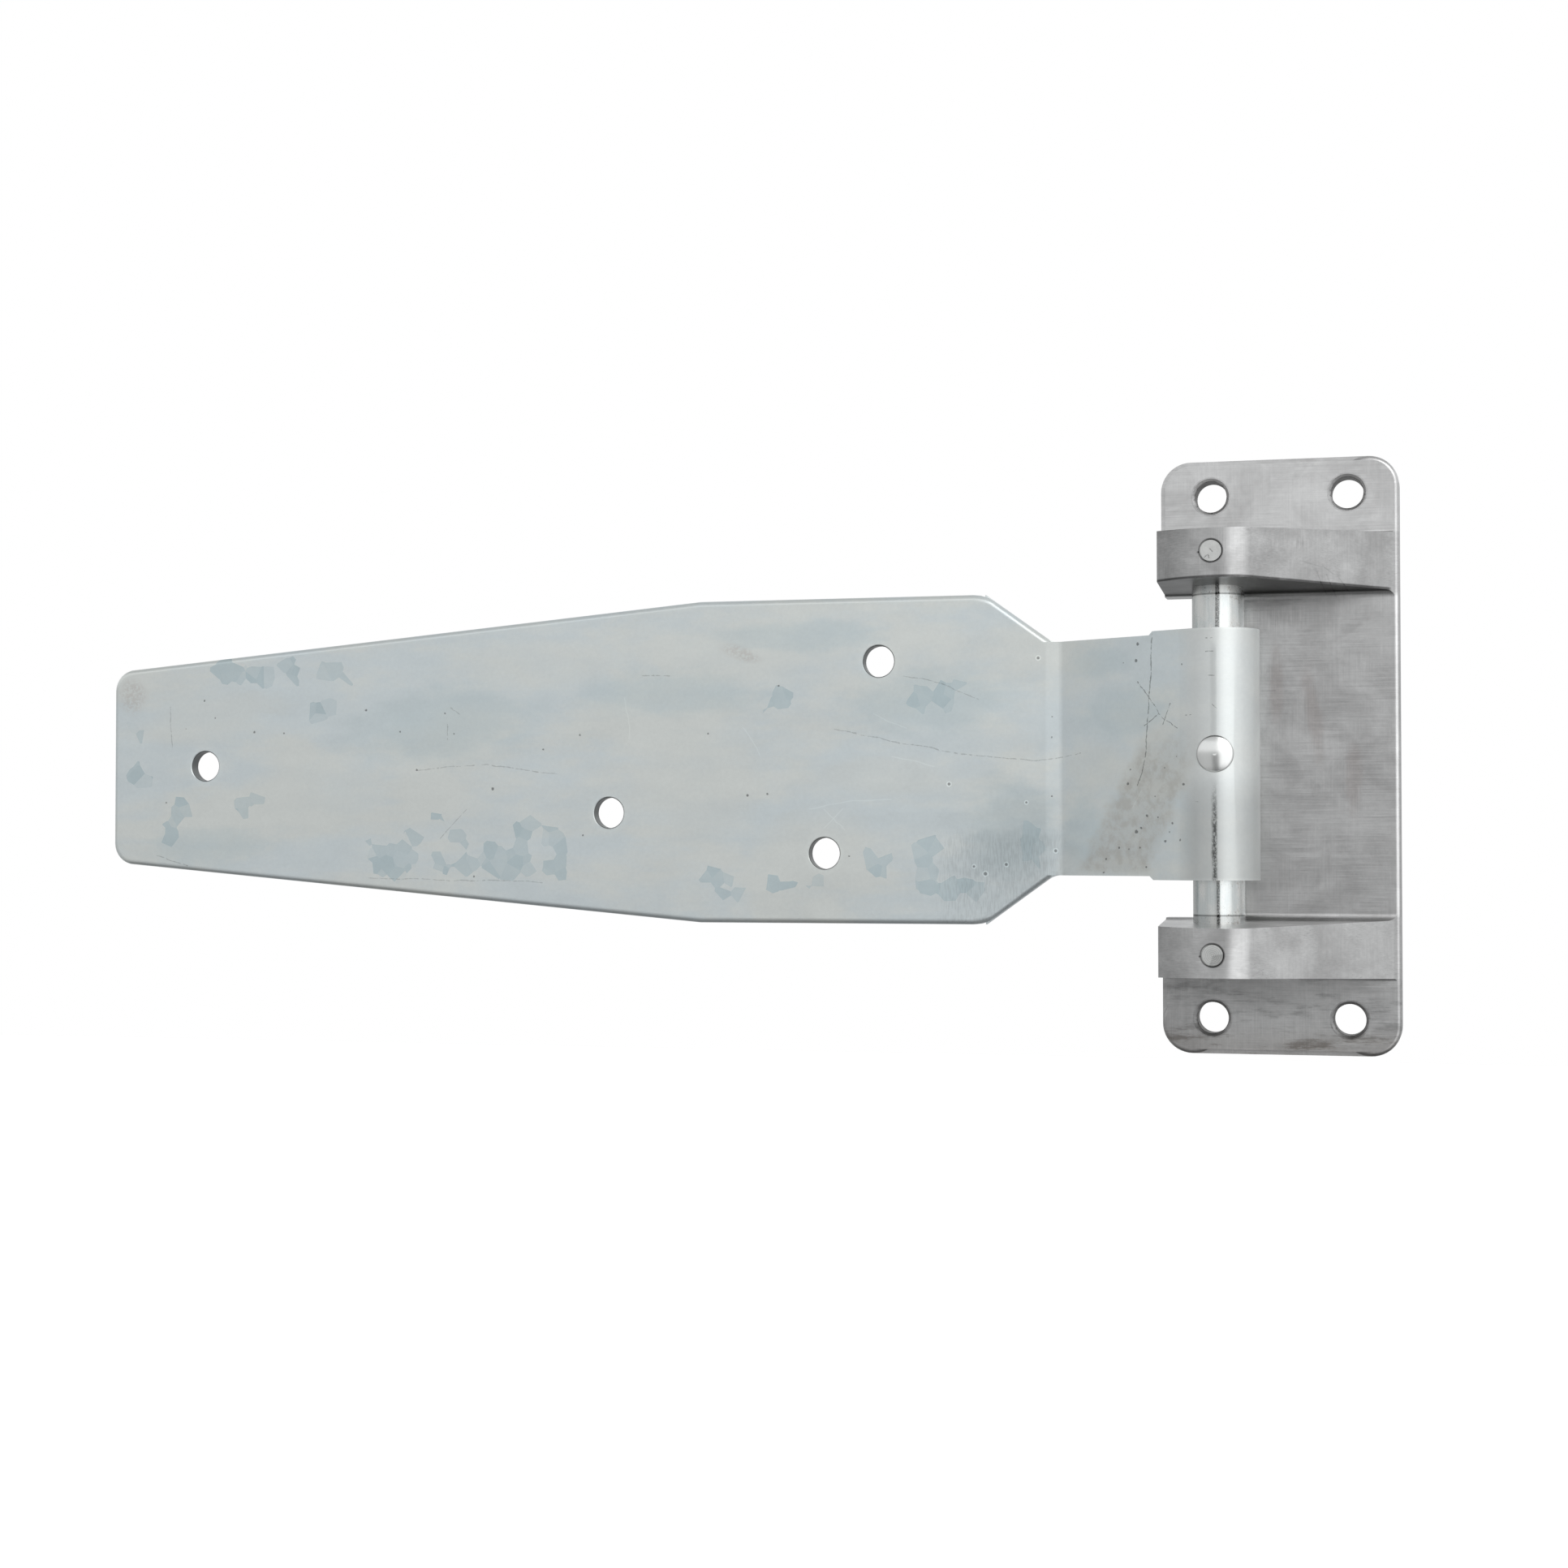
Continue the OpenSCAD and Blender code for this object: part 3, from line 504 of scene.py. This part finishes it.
def turned_pin():
    """Bright zinc-plated round steel, streaked along its length, with specks and rust, painted shade on
    its left side and next to the arms, and a painted dark reflection down its front.
    """
    p = Paint("turned_pin")
    streak = p.noise(0.8, stretch=(1, 1, 22), detail=4, rough=0.6)
    patch = p.noise(5, stretch=(1, 1, 2), detail=4, rough=0.6, shift=(4, 4, 4))
    grit = p.noise(0.5, detail=3, rough=0.7, shift=(5, 1, 2))
    fine = p.noise(1.4, detail=4, rough=0.7, shift=(9, 2, 2))
    colour = p.mix(p.step(patch, 0.35, 0.65), (0.74, 0.775, 0.77), (0.85, 0.85, 0.825))
    light = 1.0 + (streak - 0.5) * 0.3

    # A thin dark ring near each arm, painted shade on the collar beyond it, and a painted dark reflection
    # line down the front
    shaded_collar = p.step(abs(p.z), PIN_RING - 0.2, PIN_RING + 0.4)
    ring = p.step(abs(abs(p.z) - PIN_RING), 0.42, 0.12)
    pin_reflection_line = p.band(p.x + (streak - 0.5) * 0.9, PIN_X + 0.2, PIN_X + 0.9, 0.5)
    pin_reflection_line = pin_reflection_line * p.step(p.y, PIN_Y, PIN_Y - 2) * (0.5 + p.step(grit, 0.4, 0.55) * 0.5)

    # Specks and rust, thickest beside the knuckle and the arms, and painted shade on the left side
    ends = p.step(abs(p.z), 45, 42.2) + p.step(abs(p.z), 49.5, 52)
    specks = p.step(grit + fine * 0.35 - 0.175, 0.63, 0.7)
    specks = specks * (0.25 + ends * 0.75) * p.step(abs(p.z), 40, 41)
    side = p.step(p.x + (streak - 0.5) * 2, PIN_X - 5.5, PIN_X - 7.8)
    light = light - ring * 0.5 - pin_reflection_line * 0.7 - specks * 0.55 - shaded_collar * 0.2 - side * 0.3
    rust = p.step(fine, 0.52, 0.68) * ends * p.step(p.x, PIN_X + 1, PIN_X + 6) * 0.5
    colour = p.mix(rust, colour, (0.42, 0.36, 0.30))
    rough = 0.2 + patch * 0.14 + specks * 0.2
    return p.finish(p.shade(colour, light), rough, streak * 0.6 - specks, bump=0.4, distance=0.02)


def cross_pin_steel():
    """Turned pin ends: the upper one scratched, the lower one with fine rings from the lathe."""
    p = Paint("cross_pin_steel")
    fine = p.noise(0.5, detail=4, rough=0.7)
    cloud = p.noise(2.6, detail=4, shift=(3, 3, 1))
    away = p.to_spots([(x, z, 0) for x, z in CROSS_PINS])
    rings = p.math("SINE", away * 11.0) * 0.5 + 0.5
    lower = p.step(p.z, 1, -1)
    colour = p.mix(cloud, (0.55, 0.555, 0.545), (0.70, 0.70, 0.68))

    # A hooked scratch and a cut on the upper one, a dark wedge on the lower one, a dark rim on both
    x, z = UPPER_X, UPPER_Z
    hook = p.to_lines([[(x - 2, z - 2.2), (x - 0.8, z - 1.2), (x - 0.6, z - 2.4)]], p.flat)
    cut = p.to_lines([[(x - 0.3, z + 0.6), (x + 0.5, z - 0.3)]], p.flat)
    marks = p.step(hook + (fine - 0.5), 0.3, 0.0) + p.step(cut + (fine - 0.5), 0.35, 0.0)
    x, z = LOWER_X, LOWER_Z
    wedge = p.step(p.side_of((x, z), (x - 1, z - 3)), -0.2, 0.5)
    wedge = wedge * p.step(p.side_of((x + 3, z + 0.6), (x, z)), -0.2, 0.5)
    rim = p.step(away, CROSS_R - 0.55, CROSS_R - 0.15)
    light = 1.05 + (fine - 0.5) * 0.3 - marks * 0.55 - rim * 0.5
    light = light + lower * ((rings - 0.5) * 0.22 - wedge * 0.3)
    height = rings * lower * 0.6 + fine * 0.3 - marks
    return p.finish(p.shade(colour, light), 0.3 + cloud * 0.12, height, bump=0.5, distance=0.03)


def plug_zinc():
    """A polished dome with a little grime at its rim."""
    p = Paint("plug_zinc")
    cloud = p.noise(4, detail=3)
    fine = p.noise(0.6, detail=4, rough=0.7, shift=(2, 3, 4))
    away = p.to_spots([(PIN_X, 0, 0)])
    rim = p.step(away + (fine - 0.5) * 0.3, PLUG_R - 0.55, PLUG_R - 0.15)
    colour = p.mix(cloud, (0.80, 0.81, 0.80), (0.87, 0.87, 0.85))
    light = 1.0 + (fine - 0.5) * 0.12 - rim * 0.42
    return p.finish(p.shade(colour, light), 0.16 + cloud * 0.1 + rim * 0.2)


def put_on(node, material):
    """Gives a node its material in every slot."""
    for slot in NODES[node].material_slots:
        slot.material = material


def soften(node, width, angle):
    """Breaks a node's sharp edges by a small rounded bevel, and shades its flat faces as flat."""
    obj = NODES[node]
    weld = obj.modifiers.new("weld", "WELD")
    weld.merge_threshold = 0.002 * MM
    bevel = obj.modifiers.new("edge_break", "BEVEL")
    bevel.width = width * MM
    bevel.segments = 2
    bevel.limit_method = "ANGLE"
    bevel.angle_limit = math.radians(angle)
    bevel.use_clamp_overlap = True
    bevel.harden_normals = False
    bevel.miter_outer = "MITER_ARC"
    normals = obj.modifiers.new("even_light", "WEIGHTED_NORMAL")
    normals.weight = 100


def pale_floor():
    """A pale floor well below the hinge, kept out of its light and its reflections."""
    mesh = bpy.data.meshes.new("floor")
    shape = bmesh.new()
    bmesh.ops.create_grid(shape, x_segments=1, y_segments=1, size=FLOOR_SIZE)
    bmesh.ops.translate(shape, verts=shape.verts, vec=(0, 0, FLOOR_Z))
    shape.to_mesh(mesh)
    shape.free()
    floor = bpy.data.objects.new("floor", mesh)
    bpy.context.scene.collection.objects.link(floor)
    paint = bpy.data.materials.new("pale_floor")
    paint.use_nodes = True
    shader = paint.node_tree.nodes["Principled BSDF"]
    shader.inputs["Base Color"].default_value = (0.85, 0.85, 0.85, 1)
    shader.inputs["Roughness"].default_value = 0.9
    shader.inputs["Emission Color"].default_value = (1, 1, 1, 1)
    shader.inputs["Emission Strength"].default_value = 0.9
    mesh.materials.append(paint)
    floor.visible_glossy = False
    floor.visible_diffuse = False


def room_light():
    """White to the camera. In the metal: a bright window right of the front, dim far below."""
    world = bpy.data.worlds.new("room")
    bpy.context.scene.world = world
    world.use_nodes = True
    world.node_tree.nodes.clear()
    n = Nodes(world.node_tree)

    # Directions in degrees: azimuth 0 is in front and 90 to the right
    x, y, z = n.split(n.node("ShaderNodeTexCoord", output="Generated"))
    azimuth = n.math("ARCTAN2", x, -y) * math.degrees(1)
    height = n.math("ARCSINE", z) * math.degrees(1)
    window = n.band(azimuth, *WINDOW, 16) * n.band(height, -20, 30, 25)
    side = n.band(azimuth, 60, 150, 20) * n.step(height, -25, 10)
    photographer = n.band(azimuth, -9, 4, 5) * n.step(height, 9, -6)
    top = n.band(height, 12, 32, 8)
    below = n.step(height, -28, -55)
    left = n.step(azimuth, -30, -62) * n.step(azimuth, -140, -110)
    light = 0.55 + window * 0.7 + side * 0.14 + top * 0.36 - left * 0.08
    light = light * (1.0 - photographer * 0.5) * (1.0 - below * 0.66)
    sight = n.node("ShaderNodeLightPath", output="Is Camera Ray")
    white = n.node("ShaderNodeBackground", Color=(1, 1, 1, 1), Strength=1.0)
    room = n.node("ShaderNodeBackground", Color=(0.975, 0.99, 1, 1), Strength=light)
    both = n.tree.nodes.new("ShaderNodeMixShader")
    out = n.tree.nodes.new("ShaderNodeOutputWorld")
    for value, socket in zip((sight, room, white), both.inputs):
        n.feed(socket, value)
    n.tree.links.new(both.outputs[0], out.inputs[0])


def softbox(name, azimuth, elevation, distance, size, power):
    """A square lamp that looks at the hinge. Azimuth 0 is in front, 90 to the right."""
    a, e = math.radians(azimuth), math.radians(elevation)
    aim = Vector((-0.12, -0.02, 0))
    back = Vector((math.sin(a) * math.cos(e), -math.cos(a) * math.cos(e), math.sin(e)))
    lamp = bpy.data.lights.new(name, "AREA")
    lamp.shape = "RECTANGLE"
    lamp.size = size
    lamp.size_y = size
    lamp.energy = power
    obj = bpy.data.objects.new(name, lamp)
    obj.location = aim + back * distance
    obj.rotation_mode = "QUATERNION"
    obj.rotation_quaternion = (-back).to_track_quat("-Z", "Y")
    bpy.context.scene.collection.objects.link(obj)


def photo_camera():
    """The photograph's view: a little to the right of the pin and a little below it."""
    yaw, pitch = 14.877, 1.476
    cam = bpy.data.cameras.new("camera")
    cam.lens = 59.8
    cam.sensor_width = 36.0
    cam.sensor_fit = "AUTO"
    obj = bpy.data.objects.new("camera", cam)
    obj.location = (0.0631, -0.8903, -0.0317)
    obj.rotation_euler = (math.radians(90 + pitch), 0, math.radians(yaw))
    bpy.context.scene.collection.objects.link(obj)
    bpy.context.scene.camera = obj


def dress():
    """Materials and small edge bevels on the CAD nodes."""
    put_on("strap", zinc_strap())
    put_on("bracket", cast_bracket())
    put_on("hinge_pin", turned_pin())
    steel = cross_pin_steel()
    put_on("upper_cross_pin", steel)
    put_on("lower_cross_pin", steel)
    put_on("lubrication_plug", plug_zinc())
    soften("bracket", 0.45, angle=32)
    soften("strap", 0.4, angle=40)


bpy.context.scene.view_settings.view_transform = "Standard"
photo_camera()
pale_floor()
room_light()
softbox("key", azimuth=30, elevation=35, distance=1.8, size=0.9, power=4)
dress()
